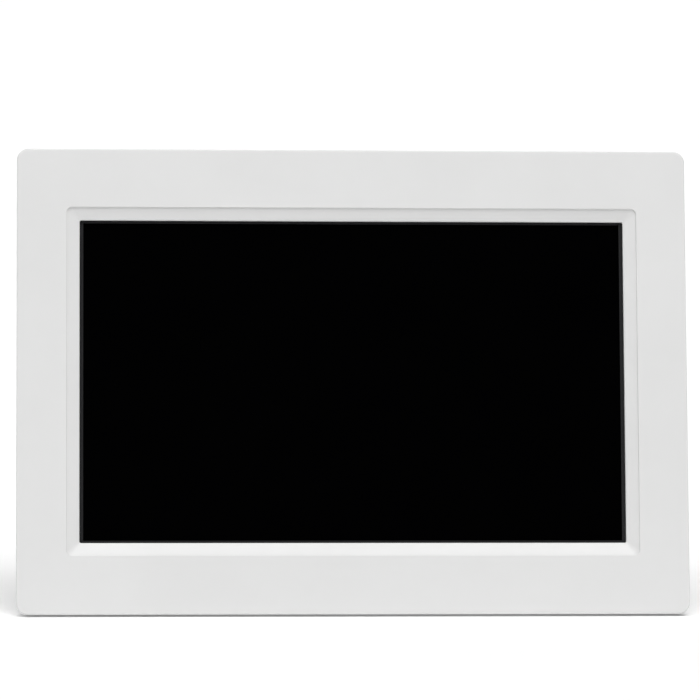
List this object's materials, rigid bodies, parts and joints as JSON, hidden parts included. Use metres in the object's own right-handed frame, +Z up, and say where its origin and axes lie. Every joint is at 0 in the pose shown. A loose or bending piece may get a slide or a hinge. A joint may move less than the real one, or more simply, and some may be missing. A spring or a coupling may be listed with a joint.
{
  "type": "digital photo frame",
  "caption": "Flat picture display in a wide white moulded bezel, with a swivelling fold-out stand leg, rear keys, sockets and hanging keyholes.",
  "frame": {"origin": "on the table, below the middle of the overall bounding box", "axes": "+X to the right seen from the front, +Y from the screen towards the back, +Z up; the panel leans back 12 degrees about X"},
  "size_m": [0.1924, 0.0558, 0.1313],
  "materials": {
    "white_plastic": "satin",
    "clear_rubber": "matte",
    "grey_rubber": "matte",
    "black_foam": "matte",
    "sheet_steel": "satin",
    "polarizing_film": "gloss",
    "dark_glass": "gloss",
    "black_resin": "matte",
    "amber_film": "satin",
    "white_film": "matte",
    "clear_acrylic": "gloss",
    "screw_steel": "satin",
    "green_board": "satin",
    "grey_ferrite": "matte",
    "can_aluminium": "satin",
    "tan_ceramic": "matte",
    "ivory_plastic": "satin",
    "black_plastic": "satin",
    "contact_brass": "polished",
    "socket_steel": "satin",
    "cone_paper": "matte",
    "wire_skin": "satin"
  },
  "bodies": {
    "frame": {"back_plate": "sheet_steel", "bezel_gasket": "black_foam", "board_passives": "tan_ceramic", "board_screws": "screw_steel", "button_board": "green_board", "button_header": "black_plastic", "capacitors": "can_aluminium", "card_socket": "socket_steel", "cell_holder": "black_plastic", "coin_cell": "socket_steel", "cover_screws": "screw_steel", "dc_jack": "black_plastic", "dc_jack_pin": "contact_brass", "diffuser_sheets": "white_film", "front_bezel": "white_plastic", "key_switches": "black_plastic", "lcd_bracket_screws": "screw_steel", "lcd_brackets": "sheet_steel", "lcd_cell": "dark_glass", "lcd_connector": "ivory_plastic", "lcd_driver_chip": "black_resin", "lcd_flex_cable": "amber_film", "lcd_metal_frame": "sheet_steel", "lcd_polarizers": "polarizing_film", "led_strip": "white_film", "light_guide": "clear_acrylic", "main_board": "green_board", "memory_chips": "black_resin", "micro_port": "socket_steel", "mould_frame": "white_film", "power_coils": "grey_ferrite", "processor_chip": "black_resin", "rear_cover": "white_plastic", "reflector_sheet": "white_film", "rubber_feet": "clear_rubber", "speaker_cones": "cone_paper", "speaker_leads": "wire_skin", "speaker_left": "black_plastic", "speaker_right": "black_plastic", "usb_host_shell": "socket_steel", "usb_host_tongue": "black_plastic"},
    "stand_turntable": {"stand_turntable": "white_plastic", "turntable_washer": "sheet_steel", "turntable_wave_washer": "sheet_steel", "turntable_screw": "screw_steel", "stand_hinge_pin": "screw_steel"},
    "stand_leg": {"stand_leg": "white_plastic", "leg_foot_pad": "grey_rubber"},
    "key_power": {"key_power": "white_plastic", "key_power_plunger": "black_plastic"},
    "key_menu": {"key_menu": "white_plastic", "key_menu_plunger": "black_plastic"},
    "key_previous": {"key_previous": "white_plastic", "key_previous_plunger": "black_plastic"},
    "key_next": {"key_next": "white_plastic", "key_next_plunger": "black_plastic"},
    "key_enter": {"key_enter": "white_plastic", "key_enter_plunger": "black_plastic"},
    "key_back": {"key_back": "white_plastic", "key_back_plunger": "black_plastic"}
  },
  "joints": [
    {"name": "stand_swivel", "type": "hinge", "parent": "frame", "child": "stand_turntable", "pos_m": [0.04225, 0.00329, 0.04924], "axis": [0, -0.9781, 0.2079], "range_deg": [0, 90]},
    {"name": "stand_fold", "type": "hinge", "parent": "stand_turntable", "child": "stand_leg", "pos_m": [0.04225, 0.00769, 0.04831], "axis": [-1, 0, 0], "range_deg": [0, 32]},
    {"name": "power_press", "type": "slide", "parent": "frame", "child": "key_power", "axis": [0, -0.9781, 0.2079], "range_m": [0, 0.0005], "stiffness_N_per_m": 3000},
    {"name": "menu_press", "type": "slide", "parent": "frame", "child": "key_menu", "axis": [0, -0.9781, 0.2079], "range_m": [0, 0.0005], "stiffness_N_per_m": 3000},
    {"name": "previous_press", "type": "slide", "parent": "frame", "child": "key_previous", "axis": [0, -0.9781, 0.2079], "range_m": [0, 0.0005], "stiffness_N_per_m": 3000},
    {"name": "next_press", "type": "slide", "parent": "frame", "child": "key_next", "axis": [0, -0.9781, 0.2079], "range_m": [0, 0.0005], "stiffness_N_per_m": 3000},
    {"name": "enter_press", "type": "slide", "parent": "frame", "child": "key_enter", "axis": [0, -0.9781, 0.2079], "range_m": [0, 0.0005], "stiffness_N_per_m": 3000},
    {"name": "back_press", "type": "slide", "parent": "frame", "child": "key_back", "axis": [0, -0.9781, 0.2079], "range_m": [0, 0.0005], "stiffness_N_per_m": 3000}
  ]
}
